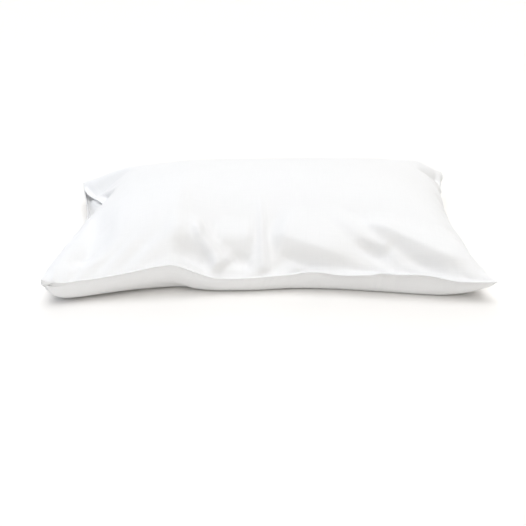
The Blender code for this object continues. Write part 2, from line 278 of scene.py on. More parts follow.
# Radians that set the back seam's gathers, their second row and their strength apart from the front
# one's, and radians that shift the strength on both seams.
BACK_SHIFT, SECOND_BACK_SHIFT, STRENGTH_BACK_SHIFT = 2.1, 4.62, 4.2
STRENGTH_SHIFT = 1.1

# ---- The studio ----
# The soft boxes. around: degrees from the camera's side, towards the fold end. up: degrees over the
# floor. share: of the light that a white wall facing the box needs to look white.
SOFT_BOX_WIDTH = 50          # degrees that each box fills, seen from the pillow
SOFT_BOXES = (
    # name            around  up   share   colour
    ("front box",     0,      35,  0.245,  "#FFFFFE"),
    ("back box",      180,    35,  0.300,  "#FFFEFC"),
    ("high front",    0,      65,  0.130,  "#FFFFFF"),
    ("overhead",      0,      90,  0.540,  "#FCFDFF"),
)
# The window at the mouth's end: its middle, the width of its square, its power in watts and its colour.
WINDOW_AT = (-1.35, -0.35, 0.45)
WINDOW_SIZE = 0.9
WINDOW_POWER = 1.1
WINDOW_COLOUR = "#5CB0FF"
ROOM_LIGHT = 0.255           # strength of the light that comes from all sides
COVE_INNER = 4.5             # radius of the level floor
COVE_SWEEP = 1.6             # radius of its sweep up into the wall
COVE_TOP = 2.6               # height of the wall
COVE_HOLE = 0.001            # radius of the floor's innermost ring
COVE_SIDES, COVE_STEPS = 96, 12
FLOOR_GAP = 0.0004           # how far the floor lies under the cloth

# ---- The hem's stitching ----
STITCH_LINE = 0.0225         # from the mouth's edge
STITCH_PITCH = 0.0032        # one stitch from the next
STITCH_LENGTH = 0.0025
STITCH_THICK = 0.0006        # thread twice as thick as the real 0.3 mm, so that it shows
STITCH_MARGIN = 0.009        # how far from the long seams the stitching stops
STITCH_TAPER = 0.95          # nearer 1 for a stitch that runs to a finer point at its ends
STITCH_LEVEL = 0.75          # the share of its full width at which a stitch lies level with the cloth
STITCH_RINGS, STITCH_SIDES = 5, 6
GROOVE_DEPTH = 0.0005
GROOVE_WIDTH = 0.0016

# ---- The finish of the cloth, thread and paper, in metres ----
DRAWN_PITCH = 0.0008         # one yarn from the next. A real percale has 0.25 mm, too fine to show
WEAVE_DEPTH = 0.00004
SLUB_WIDTH, SLUB_LENGTH = 0.0011, 0.045
SLUB_SHARE = 0.6             # how much the uneven yarn adds to the weave's height
SLUB_THIN, SLUB_THICK = 0.7, 1.3     # the summed streaks where the yarns are thinnest and thickest
THIN_TONE, THICK_TONE = "#E4E4E4", "#E7E7E7"
THIN_ROUGHNESS, THICK_ROUGHNESS = 0.90, 0.82
CRUMPLE_SIZE = 0.028
CRUMPLE_DEPTH = 0.0005
COTTON_IOR, COTTON_SPECULAR = 1.53, 0.3
COTTON_SHEEN, COTTON_SHEEN_ROUGHNESS = 0.12, 0.5
TWIST_BAND, TWIST_DEPTH = 0.00754, 0.00005   # bands along the thread from its twist: its relief, and painted shade in its colour
BANDS_PER_METRE = 10 / (2 * math.pi)         # of a diagonal wave texture at scale 1
# Painted shade: the thread's colour runs from the darker tone to the lighter one and back in each band along
# its twist
PAINTED_PLY_SHADE_TONES = ("#DEDFDE", "#E9EAE9")
THREAD_ROUGHNESS, THREAD_SHEEN = 0.6, 0.2
PAPER_TOOTH = 0.004
PAPER_TONE = "#EDEBE8"
TOOTH_LOW, TOOTH_HIGH = 0.3, 0.7
PAPER_SMOOTH, PAPER_ROUGH, PAPER_SPECULAR = 0.92, 0.98, 0.2


def curve_through(places, values, at):
    """Values at the places in at, on a smooth curve through one row of values for each of places."""
    slopes = np.gradient(values, places, axis=0)
    row = np.clip(np.searchsorted(places, at, side="right") - 1, 0, len(places) - 2)
    span = places[row + 1] - places[row]
    part = (at - places[row]) / span
    more_axes = part.shape + (1,) * (values.ndim - 1)
    span, part = span.reshape(more_axes), part.reshape(more_axes)
    return (
        values[row] * (1 + 2 * part) * (1 - part) ** 2
        + slopes[row] * span * part * (1 - part) ** 2
        + values[row + 1] * part**2 * (3 - 2 * part)
        - slopes[row + 1] * span * part**2 * (1 - part)
    )


def eased(table, along, column):
    """One column of a side's table at the places in along."""
    rows = np.array(table, float)
    return curve_through(rows[:, 0], rows[:, 1 + column], np.asarray(along, float))


def swell(part):
    """0 to 1 as part goes from 0 to 1, level at both ends."""
    part = np.clip(part, 0, 1)
    return part**2 * (3 - 2 * part)


# ---- The laid shape, worked out as the solid's is ----
def seam_level(s, t):
    """Height of the layer midway between the two faces, spanned between the four seams."""
    front, back = eased(FRONT_SIDE, s, HEIGHT), eased(BACK_SIDE, s, HEIGHT)
    mouth, fold = eased(MOUTH_SIDE, t, HEIGHT), eased(FOLD_SIDE, t, HEIGHT)
    to_back, to_fold = (1 + t) / 2, (1 + s) / 2
    front_corners = (1 - to_fold) * FRONT_SIDE[0][2] + to_fold * FRONT_SIDE[-1][2]
    back_corners = (1 - to_fold) * BACK_SIDE[0][2] + to_fold * BACK_SIDE[-1][2]
    return (
        (1 - to_back) ** 3 * (front - front_corners) + to_back**3 * (back - back_corners)
        + (1 - to_fold) * mouth + to_fold * fold
    )


def plan(s, t):
    """Where a place on the cloth lies, seen from above."""
    mouth, fold = eased(MOUTH_SIDE, t, INSET), eased(FOLD_SIDE, t, INSET)
    front, back = eased(FRONT_SIDE, s, INSET), eased(BACK_SIDE, s, INSET)
    x = s * HALF_LENGTH + mouth * ((1 - s) / 2) ** 3 - fold * ((1 + s) / 2) ** 3
    y = t * HALF_DEPTH + front * ((1 - t) / 2) ** 3 - back * ((1 + t) / 2) ** 3
    return x, y


def fullness(s, t, squareness_s, squareness_t, column):
    """Share of the full height that the stuffing fills at a place: 0 on the seams, 1 at the middle."""
    across = np.clip(1 - np.abs(s) ** squareness_s, 0, 1)
    deep = np.clip(1 - np.abs(t) ** squareness_t, 0, 1)
    to_back, to_fold = (1 + t) / 2, (1 + s) / 2
    across_power = (
        (1 - to_fold) * eased(MOUTH_SIDE, t, column) + to_fold * eased(FOLD_SIDE, t, column)
    )
    deep_power = (
        (1 - to_back) * eased(FRONT_SIDE, s, column) + to_back * eased(BACK_SIDE, s, column)
    )
    return across**across_power * deep**deep_power


def rested(height):
    """Eases a height that would sink below the surface into a flat at zero."""
    eased_in = (height + FLOOR_ROUNDING) ** 2 / (4 * FLOOR_ROUNDING)
    lifted = np.where(height > FLOOR_ROUNDING, height, eased_in)
    return np.where(height < -FLOOR_ROUNDING, 0.0, lifted)


def smooth_top(s, t):
    """Points of the upper face before its folds."""
    crown = fullness(s, t, CROWN_SQUARENESS_S, CROWN_SQUARENESS_T, CROWN)
    x, y = plan(s, t)
    return np.stack([x, y, seam_level(s, t) + CROWN_RISE * crown], axis=-1)


def belly(s, t):
    """Points of the lower face, which lies flat where the pillow rests."""
    drop = BELLY_DROP * fullness(s, t, BELLY_SQUARENESS, BELLY_SQUARENESS, BELLY)
    level = seam_level(s, t)
    x, y = plan(s, t)
    return np.stack([x, y, np.minimum(rested(level - drop), level)], axis=-1)


def normals(surface, s, t):
    """Which way a face of the case looks, from its slope on both sides of each place."""
    left, right = np.clip(s - NORMAL_STEP, -1, 1), np.clip(s + NORMAL_STEP, -1, 1)
    near, far = np.clip(t - NORMAL_STEP, -1, 1), np.clip(t + NORMAL_STEP, -1, 1)
    across = np.cross(surface(right, t) - surface(left, t), surface(s, far) - surface(s, near))
    return across / np.linalg.norm(across, axis=-1, keepdims=True)


def from_seam(surface, s, t):
    """How far each place is from the nearest of the four sides."""
    here = surface(s, t)
    edge = np.ones_like(s)
    sides = (surface(s, -edge), surface(s, edge), surface(-edge, t), surface(edge, t))
    return np.min([np.linalg.norm(here - side, axis=-1) for side in sides], axis=0)


def fallen(part, crest):
    """1 to 0 as part goes from 0 to 1, rounded over the share crest at its start and FOOT at its end."""
    part = np.clip(part, 0, 1)
    near_crest = part**2 / (2 * crest)
    near_foot = 1 - (crest + FOOT) / 2 - (1 - part) ** 2 / (2 * FOOT)
    between = part - crest / 2
    drop = np.where(part < crest, near_crest, np.where(part > 1 - FOOT, near_foot, between))
    return 1 - drop / (1 - (crest + FOOT) / 2)


def fold_height(points, facing, fold):
    """How far one fold lifts each point of the face along its normal."""
    start, end = np.array(fold[FOLD_START]), np.array(fold[FOLD_END])
    length = np.linalg.norm(end - start)
    run = (end - start) / length
    away = points - start
    along = away @ run / length
    left_of_line = np.sum(away * np.cross(facing, run), axis=-1)
    left_of_line -= fold[FOLD_BOW] * 4 * along * (1 - along)
    reach = np.where(left_of_line > 0, fold[FOLD_LEFT], fold[FOLD_RIGHT])
    reach *= fold[FOLD_OPENING] + (1 - fold[FOLD_OPENING]) * np.clip(along, 0, 1)
    ends = swell(along / fold[FOLD_GROW]) * swell((1 - along) / fold[FOLD_DIE])
    near = swell((FOLD_GRASP - np.abs(np.sum(away * facing, axis=-1))) / FOLD_GRASP_EASE)
    return fold[FOLD_RISE] * ends * near * fallen(np.abs(left_of_line) / reach, fold[FOLD_CREST])


def fold_lift(points, facing, s, t):
    """How far all the folds lift the upper face, dying out at the seams."""
    lift = sum(fold_height(points, facing, fold) for fold in FOLDS)
    return lift * swell(from_seam(smooth_top, s, t) / SEAM_FADE)


# ---- The cloth on the laid shape ----
def gathered(count, length, gathers):
    """Places of count cells along a length of the cut, denser round each of gathers."""
    fine = np.linspace(-length / 2, length / 2, CUT_SAMPLES)
    density = 1 + sum(
        more * np.exp(-(((fine - middle) / width) ** 2)) for middle, width, more in gathers
    )
    filled = np.concatenate([[0], np.cumsum((density[1:] + density[:-1]) / 2)])
    return np.interp(np.linspace(0, filled[-1], count + 1), filled, fine)


def by_length(points):
    """-1 to +1 along each row of points, by the length of the line through them."""
    steps = np.linalg.norm(np.diff(points, axis=1), axis=-1)
    run = np.concatenate([np.zeros((len(points), 1)), np.cumsum(steps, axis=1)], axis=1)
    return 2 * run / run[:, -1:] - 1


def laid_places(surface, u, v):
    """The places s, t at which evenly spread cloth lies, for columns u and rows v of its cut."""
    fine = np.sin(np.linspace(-1, 1, LAID_SAMPLES) * math.pi / 2)
    s_lines, t_lines = np.meshgrid(fine, fine, indexing="ij")
    across = by_length(surface(s_lines, t_lines))
    v_share, u_share = v / (CUT_DEPTH / 2), u / (CUT_LENGTH / 2)
    t_rows = np.array([np.interp(v_share, shares, fine) for shares in across])
    s_rows = np.repeat(fine[:, None], len(v), axis=1)
    along = by_length(surface(s_rows, t_rows).swapaxes(0, 1))
    s = np.array([np.interp(u_share, shares, fine) for shares in along]).T
    t = np.array([np.interp(s[:, row], fine, t_rows[:, row]) for row in range(len(v))]).T
    return s, t


def laid_faces(u, v):
    """The laid case, for columns u and rows v of its cut.

    Returns the points of the upper and of the lower face, how far the folds lift the upper one, and
    how firmly it is held while it settles.
    """
    s, t = laid_places(smooth_top, u, v)
    upper, facing = smooth_top(s, t), normals(smooth_top, s, t)
    lift = fold_lift(upper, facing, s, t)
    hold = HOLD_EDGE + (HOLD_CROWN - HOLD_EDGE) * swell(from_seam(smooth_top, s, t) / HOLD_REACH)
    hold = np.maximum(hold, HOLD_FOLD * swell(np.abs(lift) / HELD_FOLD))
    hold[:, [0, -1]] = HOLD_SEAM
    upper += facing * lift[..., None]
    s, t = laid_places(belly, u, v)
    return upper, belly(s, t), lift, hold


# ---- Meshes of the case ----
def case_faces(columns, rows):
    """Vertex numbers of the upper and the lower face, which share those on the long seams and the fold."""
    upper = np.arange(columns * rows).reshape(columns, rows)
    lower = upper + columns * rows
    lower[:, 0], lower[:, -1], lower[-1, :] = upper[:, 0], upper[:, -1], upper[-1, :]
    return upper, lower


def quads(grid, turned=False):
    """Quads of a grid of vertex numbers, looking up, or down where turned."""
    corners = [grid[:-1, :-1], grid[1:, :-1], grid[1:, 1:], grid[:-1, 1:]]
    if turned:
        corners.reverse()
    return np.stack([corner.ravel() for corner in corners], axis=1)


def settle(u, v):
    """Lets cloth of the flat cut's size settle on its laid shape. Returns how far each face moved."""
    upper, lower, lift, hold = laid_faces(u, v)
    lower[0, :, 2] -= REST_GAP
    up, low = case_faces(len(u), len(v))
    points = np.concatenate([upper.reshape(-1, 3), lower.reshape(-1, 3)])
    cut = np.stack(np.meshgrid(u, v, indexing="ij") + [np.zeros((len(u), len(v)))], axis=-1)
    cut_up, cut_low = cut + (0, 0, REST_GAP), cut.copy()
    cut_up[..., 2] += lift
    flat = np.concatenate([cut_up.reshape(-1, 3), cut_low.reshape(-1, 3)])
    used, number = np.unique(np.concatenate([up.ravel(), low.ravel()]), return_inverse=True)
    up_number = number[: up.size].reshape(up.shape)
    low_number = number[up.size:].reshape(low.shape)
    faces = np.concatenate([quads(up_number), quads(low_number, turned=True)])

    mesh = bpy.data.meshes.new("settling")
    mesh.from_pydata(points[used], [], faces.tolist())
    piece = bpy.data.objects.new("settling", mesh)
    bpy.context.scene.collection.objects.link(piece)
    piece.shape_key_add(name="laid")
    cut_key = piece.shape_key_add(name="cut")
    cut_key.data.foreach_set("co", flat[used].ravel())
    held = piece.vertex_groups.new(name="held")
    near_mouth = u[:, None] < HOLD_MOUTH_REACH - CUT_LENGTH / 2
    hold_up = np.where(near_mouth, HOLD_MOUTH, hold)
    hold_low = np.full_like(hold, HOLD_BELLY)
    holds = np.concatenate([hold_up.ravel(), hold_low.ravel()])[used]
    holds[points[used][:, 2] < FLOOR_TOUCH] = 1
    for index, share in enumerate(holds.tolist()):
        held.add([index], share, "REPLACE")

    # Cloth reads its rest shape only behind a modifier that rebuilds the mesh.
    rebuilt = piece.modifiers.new("rebuilt", "WELD")
    rebuilt.merge_threshold = NO_MERGE
    cloth = piece.modifiers.new("cloth", "CLOTH")
    cloth.settings.vertex_group_mass = "held"
    cloth.settings.rest_shape_key = cut_key
    for name, value in CLOTH.items():
        setattr(cloth.settings, name, value)
    cloth.settings.effector_weights.gravity = 0
    cloth.collision_settings.use_collision = False
    cloth.collision_settings.use_self_collision = False
    scene = bpy.context.scene
    for step in range(1, SIM_FRAMES + 1):
        scene.frame_set(step)
    settled_mesh = piece.evaluated_get(bpy.context.evaluated_depsgraph_get()).to_mesh()
    settled = np.empty(len(used) * 3)
    settled_mesh.vertices.foreach_get("co", settled)
    moved = settled.reshape(-1, 3) - points[used]
    size = np.linalg.norm(moved, axis=1, keepdims=True)
    print("settled: mean move %.1f mm, most %.1f mm" % (size.mean() * 1000, size.max() * 1000))
    moved *= np.tanh(size / MOST_MOVE) * MOST_MOVE / np.maximum(size, SHORTEST_MOVE)
    scene.frame_set(1)
    bpy.data.objects.remove(piece)
    return smoothed(moved[up_number]), smoothed(moved[low_number])


def smoothed(moved):
    """Takes ripples as short as a cell out of what the coarse cloth moved."""
    for axis in (0, 1):
        inner = moved.swapaxes(0, axis).copy()
        inner[1:-1] = (inner[:-2] + 2 * inner[1:-1] + inner[2:]) / 4
        moved = inner.swapaxes(0, axis)
    return moved


def spread(moved, u, v, fine_u, fine_v):
    """Carries what the coarse cloth moved over to the fine one."""
    along = curve_through(u, moved, fine_u)
    return curve_through(v, along.swapaxes(0, 1), fine_v).swapaxes(0, 1)


def eased_rows(v):
    """Rows of the cut pushed back from the long seams, which leaves cloth for the sewn edge."""
    edge = CUT_DEPTH / 2 - np.abs(v)
    back = SEAM_EASE * np.clip((edge - SEAM_LIP_CLOTH) / (SEAM_EASE - SEAM_LIP_CLOTH), 0, None)
    return np.sign(v) * (CUT_DEPTH / 2 - np.where(edge < SEAM_EASE, back, edge))


def case_points():
    """Points of the fine upper and lower face, with what the cloth's settling added."""
    u = gathered(FINE_COLUMNS, CUT_LENGTH, COLUMN_GATHERS)
    v = gathered(FINE_ROWS, CUT_DEPTH, ROW_GATHERS)
    rows = eased_rows(v)
    upper, lower, _, _ = laid_faces(u, rows)
    sim_u = gathered(SIM_COLUMNS, CUT_LENGTH, SIM_COLUMN_GATHERS)
    sim_v = gathered(SIM_ROWS, CUT_DEPTH, SIM_ROW_GATHERS)
    moved_up, moved_low = settle(sim_u, sim_v)
    upper += spread(moved_up, sim_u, sim_v, u, rows)
    lower += spread(moved_low, sim_u, sim_v, u, rows)
    return u, v, upper, lower


def grid_normals(points):
    """Which way a grid of points looks at each of them, up for an upper face."""
    across = np.cross(np.gradient(points, axis=0), np.gradient(points, axis=1))
    return across / np.maximum(np.linalg.norm(across, axis=-1, keepdims=True), SMALLEST_CELL)


def on_wave(low, high, wave):
    """Low to high as a wave goes from -1 to +1."""
    return (low + high) / 2 + (high - low) / 2 * wave


def puckers(u, v):
    """Height of the small gathers that the stitching draws up beside the long seams."""
    from_edge = (CUT_DEPTH / 2 - np.abs(v))[None, :]
    at_back = (v >= 0)[None, :]

    def turned(length):
        """How far waves of a length have turned at each column, in radians."""
        return 2 * math.pi * u[:, None] / length

    shift = BACK_SHIFT * at_back
    wave = np.sin(turned(PUCKER_PITCH) + PITCH_DRIFT * np.sin(turned(PITCH_WAVE) + shift) + shift)
    slant = SECOND_SLANT * from_edge
    wave += SECOND_SHARE * np.sin(turned(SECOND_PITCH) + SECOND_BACK_SHIFT * at_back + slant)
    strength_turn = turned(STRENGTH_WAVE) + STRENGTH_SHIFT + STRENGTH_BACK_SHIFT * at_back
    strong = on_wave(LEAST_STRENGTH, 1, np.sin(strength_turn))
    reach = PUCKER_REACH * on_wave(LEAST_REACH, 1, np.sin(turned(REACH_WAVE) + shift))
    faded = swell(from_edge / SEAM_EASE) * np.exp(-((from_edge / reach) ** 2))
    return PUCKER_RISE * wave * strong * faded


def hem_relief(u):
    """Height of the turned hem at the mouth, with the groove that its stitching pulls in."""
    in_hem = u[:, None] + CUT_LENGTH / 2
    step = HEM_STEP * swell((HEM_WIDTH + HEM_EDGE / 2 - in_hem) / HEM_EDGE)
    groove = np.exp(-(((in_hem - STITCH_LINE) / GROOVE_WIDTH) ** 2))
    return step - GROOVE_DEPTH * groove


def hem_thickness(t):
    """Thickness of a lip along the mouth, which runs out where the lips meet at the long seams."""
    return HEM_THICK * swell((1 - np.abs(t)) / LIP_FADE)


def open_mouth(upper, lower, u, t):
    """Draws the lips apart: the upper one back over the pillow, the lower one down."""
    near = np.exp(-(((u + CUT_LENGTH / 2) / LIP_REACH)[:, None] ** 2))
    upper[..., 0] += eased(MOUTH, t, BACK) * near
    upper[..., 2] += (eased(MOUTH, t, RISE) + hem_thickness(t)) * near**LIP_CURL
    lower[..., 2] -= eased(MOUTH, t, DROP) * near


def sew_edges(u, v, upper, lower):
    """Draws the cloth beside each long seam out into a thin sewn edge."""
    edge = CUT_DEPTH / 2 - np.abs(v)
    middle = (upper + lower) / 2
    inner_rows = np.flatnonzero(edge > SEAM_EASE)
    for seam, behind, side in ((0, inner_rows[0], SHOWS_FRONT), (-1, inner_rows[-1], SHOWS_BACK)):
        shows = eased(SEAM_SHOWS, u / (CUT_LENGTH / 2), side)[:, None]
        outward = middle[:, seam] - middle[:, behind]
        outward /= np.linalg.norm(outward, axis=-1, keepdims=True)
        beside_seam = (edge <= SEAM_EASE) & ((v < 0) == (v[seam] < 0))
        for row in np.flatnonzero(beside_seam):
            share = min(edge[row] / SEAM_LIP_CLOTH, 1)
            reach = SEAM_LIP * (1 - share)
            thick = SEAM_THICK * math.sqrt(1 - (1 - share) ** 2)
            thick *= float(swell((SEAM_EASE - edge[row]) / (SEAM_EASE - SEAM_LIP_CLOTH)))
            upper[:, row] += shows * outward * reach + (0, 0, thick)
            lower[:, row] += shows * outward * reach - (0, 0, thick)


def mouth_lining(upper, lower, u, t):
    """Rings of points inside the mouth: in on the lower lip, up the pillow's end, out under the upper."""
    thick = hem_thickness(t)[:, None]
    in_up = upper - grid_normals(upper) * thick
    in_low = lower + grid_normals(lower) * thick
    depth = eased(MOUTH, t, DEPTH)
    from_mouth = u + CUT_LENGTH / 2

    def ring(face, share):
        places = depth * share
        return np.array([
            [np.interp(place, from_mouth, face[:, row, axis]) for axis in range(3)]
            for row, place in enumerate(places)
        ])

    shares = np.linspace(0, 1, LINING_RINGS)
    inward = [ring(in_low, share) for share in shares]
    outward = [ring(in_up, share) for share in reversed(shares)]
    pillow_end = []
    for step in range(1, PILLOW_RINGS):
        part = step / PILLOW_RINGS
        bulge = np.stack([-PILLOW_BULGE * depth * math.sin(math.pi * part), 0 * t, 0 * t], axis=-1)
        pillow_end.append((1 - part) * inward[-1] + part * outward[0] + bulge)
    return np.array(inward + pillow_end + outward)


def make_case():
    """The whole case as one closed mesh, with its hem and the lining of its mouth."""
    u, v, upper, lower = case_points()
    t = v / (CUT_DEPTH / 2)
    open_mouth(upper, lower, u, t)
    relief = puckers(u, v) + hem_relief(u) * swell((1 - np.abs(t)) / HEM_FADE)
    upper += grid_normals(upper) * relief[..., None]
    lower -= grid_normals(lower) * relief[..., None]
    sew_edges(u, v, upper, lower)
    # The surface below carries the lower face, and the lining lies a lip's thickness over it.
    lower[..., 2] = np.maximum(lower[..., 2], 0)
    lining = mouth_lining(upper, lower, u, t)
    lining[..., 2] = np.maximum(lining[..., 2], HEM_THICK)

    columns, rows = upper.shape[:2]
    up, low = case_faces(columns, rows)
    inside = np.arange(len(lining) * rows).reshape(len(lining), rows) + 2 * columns * rows
    inside[:, 0], inside[:, -1] = up[0, 0], up[0, -1]
    faces = np.concatenate([
        quads(up), quads(low, turned=True),
        quads(np.array([inside[-1], up[0]])), quads(np.array([low[0], inside[0]])),
        quads(inside),
    ])
    points = np.concatenate([upper.reshape(-1, 3), lower.reshape(-1, 3), lining.reshape(-1, 3)])
    cut = np.stack(np.meshgrid(u, v, indexing="ij"), axis=-1).reshape(-1, 2)
    lining_u = np.linspace(0, LINING_CUT, len(lining))
    lining_cut = np.stack(np.meshgrid(lining_u, v, indexing="ij"), axis=-1)
    cut = np.concatenate([cut, cut + (0, CUT_DEPTH), lining_cut.reshape(-1, 2)])
    piece = new_piece("case", points, faces, cut)
    return piece, upper, lower, u, v


def make_stitches(upper, lower, u, v):
    """The row of stitches that holds the hem, as short raised threads on both lips of the mouth."""
    hem_line = np.array([STITCH_LINE - CUT_LENGTH / 2])
    count = int((CUT_DEPTH - 2 * STITCH_MARGIN) / STITCH_PITCH)
    middles = (np.arange(count) - (count - 1) / 2) * STITCH_PITCH
    part = np.linspace(-1, 1, STITCH_RINGS)
    places = middles[:, None] + part * STITCH_LENGTH / 2
    swelling = np.sqrt(1 - (STITCH_TAPER * part) ** 2)[:, None]
    turn = np.arange(STITCH_SIDES)[:, None] * 2 * math.pi / STITCH_SIDES

    threads = []
    for face, outward in ((upper, grid_normals(upper)), (lower, -grid_normals(lower))):
        middle = curve_through(v, curve_through(u, face, hem_line)[0], places)
        up = curve_through(v, curve_through(u, outward, hem_line)[0], places)
        up /= np.linalg.norm(up, axis=-1, keepdims=True)
        along = np.gradient(middle, axis=1)
        side = np.cross(along / np.linalg.norm(along, axis=-1, keepdims=True), up)
        middle += up * STITCH_THICK * (swelling - STITCH_LEVEL)
        round_it = np.cos(turn) * side[:, :, None] + np.sin(turn) * up[:, :, None]
        threads.append(middle[:, :, None] + round_it * swelling[:, None] * STITCH_THICK / 2)
    points = np.concatenate(threads)
    ring = np.arange(points.size // 3).reshape(points.shape[:3])
    closed_ring = np.concatenate([ring, ring[..., :1]], axis=-1)
    # Two quads close each end of a six-sided stitch.
    faces = np.concatenate(
        [quads(stitch) for stitch in closed_ring]
        + [ring[:, 0, [0, 1, 2, 3]], ring[:, 0, [0, 3, 4, 5]]]
        + [ring[:, -1, [3, 2, 1, 0]], ring[:, -1, [5, 4, 3, 0]]]
    )
    return new_piece("hem_stitches", points.reshape(-1, 3), faces)


def new_piece(name, points, faces, cut=None):
    """An object of the quads given. Quads that have lost a corner become triangles."""
    used, number = np.unique(faces, return_inverse=True)
    rings = [list(dict.fromkeys(face)) for face in number.reshape(faces.shape).tolist()]
    rings = [ring for ring in rings if len(ring) > 2]
    mesh = bpy.data.meshes.new(name)
    mesh.from_pydata(points[used], [], rings)
    if cut is not None:
        layer = mesh.uv_layers.new(name="cut")
        places = np.array([corner.vertex_index for corner in mesh.loops])
        layer.data.foreach_set("uv", cut[used][places].ravel())
    mesh.validate()
    mesh.shade_smooth()
    piece = bpy.data.objects.new(name, mesh)
    bpy.context.scene.collection.objects.link(piece)
    return piece


# ---- Materials ----
MIX_FIRST, MIX_SECOND, MIX_OUT = 6, 7, 2     # a Mix node's two colours, and its colour output


def linear(hex_colour):
    """A colour's sRGB hex value as linear red, green, blue and alpha."""
    parts = [int(hex_colour[place:place + 2], 16) / 255 for place in (1, 3, 5)]
    return tuple(p / 12.92 if p <= 0.04045 else ((p + 0.055) / 1.055) ** 2.4 for p in parts) + (1.0,)


def add_node(tree, kind, inputs, **settings):
    """Adds a node with its settings. Each of inputs is a value, or the output that is linked to it."""
    node = tree.nodes.new(kind)
    for name, value in settings.items():
        setattr(node, name, value)
    for name, value in inputs.items():
        if isinstance(value, bpy.types.NodeSocket):
            tree.links.new(value, node.inputs[name])
        else:
            node.inputs[name].default_value = value
    return node


def new_material(name):
    """A material with its shader, ready for its nodes."""
    material = bpy.data.materials.new(name)
    material.use_nodes = True
    return material, material.node_tree, material.node_tree.nodes["Principled BSDF"]


def bleached_percale():
    """Cotton woven plain and tight from combed yarn, then bleached: smooth, chalk white and nearly matt.

    Its yarns differ a little in thickness, which draws faint streaks along and across the cloth, and
    a soft crumple stays in it after it is stuffed. The fibres' ends give it a slight sheen at its edges.
    """
    material, tree, shader = new_material("bleached cotton percale")
    cut = add_node(tree, "ShaderNodeUVMap", {}, uv_map="cut").outputs["UV"]

    # The plain weave: a small cushion of yarn at each crossing.
    half_turn = (math.pi / DRAWN_PITCH,) * 3
    turns = add_node(tree, "ShaderNodeVectorMath", {0: cut, 1: half_turn}, operation="MULTIPLY")
    waves = add_node(tree, "ShaderNodeVectorMath", {0: turns.outputs[0]}, operation="SINE")
    yarns = add_node(tree, "ShaderNodeVectorMath", {0: waves.outputs[0]}, operation="ABSOLUTE")
    axes = add_node(tree, "ShaderNodeSeparateXYZ", {0: yarns.outputs[0]})
    crossing = add_node(
        tree, "ShaderNodeMath", {0: axes.outputs["X"], 1: axes.outputs["Y"]}, operation="MULTIPLY"
    )

    # Thick and thin yarn, as streaks one yarn wide that run along the cloth and across it.
    streaks = []
    for name, along, across in (("warp", SLUB_LENGTH, SLUB_WIDTH), ("weft", SLUB_WIDTH, SLUB_LENGTH)):
        drawn_out = add_node(
            tree, "ShaderNodeVectorMath", {0: cut, 1: (along, across, 1)}, operation="DIVIDE", label=name
        )
        streaks.append(add_node(
            tree, "ShaderNodeTexNoise", {"Vector": drawn_out.outputs[0], "Scale": 1.0, "Detail": 2.0},
            label=name,
        ))
    slubs = add_node(
        tree, "ShaderNodeMath", {0: streaks[0].outputs["Fac"], 1: streaks[1].outputs["Fac"]}, operation="ADD"
    )
    uneven = add_node(tree, "ShaderNodeMath", {0: slubs.outputs[0], 1: SLUB_SHARE}, operation="MULTIPLY")
    weave = add_node(tree, "ShaderNodeMath", {0: crossing.outputs[0], 1: uneven.outputs[0]}, operation="ADD")
    crumple = add_node(
        tree, "ShaderNodeTexNoise",
        {"Vector": cut, "Scale": 1 / CRUMPLE_SIZE, "Detail": 3.0, "Roughness": 0.55, "Distortion": 0.6},
    )

    # Where the yarn is thicker the cloth is a little denser and whiter.
    tone = add_node(
        tree, "ShaderNodeMapRange",
        {"Value": slubs.outputs[0], "From Min": SLUB_THIN, "From Max": SLUB_THICK},
    )
    colour = add_node(
        tree, "ShaderNodeMix",
        {"Factor": tone.outputs[0], MIX_FIRST: linear(THIN_TONE), MIX_SECOND: linear(THICK_TONE)},
        data_type="RGBA",
    )
    roughness = add_node(
        tree, "ShaderNodeMapRange",
        {"Value": slubs.outputs[0], "From Min": SLUB_THIN, "From Max": SLUB_THICK,
         "To Min": THIN_ROUGHNESS, "To Max": THICK_ROUGHNESS},
    )
    crumpled = add_node(
        tree, "ShaderNodeBump", {"Height": crumple.outputs["Fac"], "Distance": CRUMPLE_DEPTH, "Strength": 1.0}
    )
    woven = add_node(
        tree, "ShaderNodeBump",
        {"Height": weave.outputs[0], "Distance": WEAVE_DEPTH, "Strength": 1.0, "Normal": crumpled.outputs[0]},
    )
    tree.links.new(colour.outputs[MIX_OUT], shader.inputs["Base Color"])
    tree.links.new(roughness.outputs[0], shader.inputs["Roughness"])
    tree.links.new(woven.outputs[0], shader.inputs["Normal"])
    shader.inputs["IOR"].default_value = COTTON_IOR
    shader.inputs["Specular IOR Level"].default_value = COTTON_SPECULAR
    shader.inputs["Sheen Weight"].default_value = COTTON_SHEEN
    shader.inputs["Sheen Roughness"].default_value = COTTON_SHEEN_ROUGHNESS
    return material


def sewing_thread():
    """Spun white cotton-wrapped thread, twisted from plies: a little glossier and whiter than the cloth."""
    material, tree, shader = new_material("white sewing thread")
    place = add_node(tree, "ShaderNodeTexCoord", {}).outputs["Object"]
    ply_relief_and_shade_bands = add_node(
        tree, "ShaderNodeTexWave",
        {"Vector": place, "Scale": 1 / (TWIST_BAND * BANDS_PER_METRE), "Distortion": 1.5},
        bands_direction="DIAGONAL",
    )
    # The darker and lighter tones are painted shade, laid into the thread's colour in bands along its twist
    dark, light = (linear(tone) for tone in PAINTED_PLY_SHADE_TONES)
    tone = add_node(
        tree, "ShaderNodeMix", {"Factor": ply_relief_and_shade_bands.outputs["Fac"], MIX_FIRST: dark, MIX_SECOND: light},
        data_type="RGBA",
    )
    twisted = add_node(
        tree, "ShaderNodeBump", {"Height": ply_relief_and_shade_bands.outputs["Fac"], "Distance": TWIST_DEPTH, "Strength": 1.0}
    )
    tree.links.new(tone.outputs[MIX_OUT], shader.inputs["Base Color"])
    tree.links.new(twisted.outputs[0], shader.inputs["Normal"])
    shader.inputs["Roughness"].default_value = THREAD_ROUGHNESS
    shader.inputs["Sheen Weight"].default_value = THREAD_SHEEN
    return material


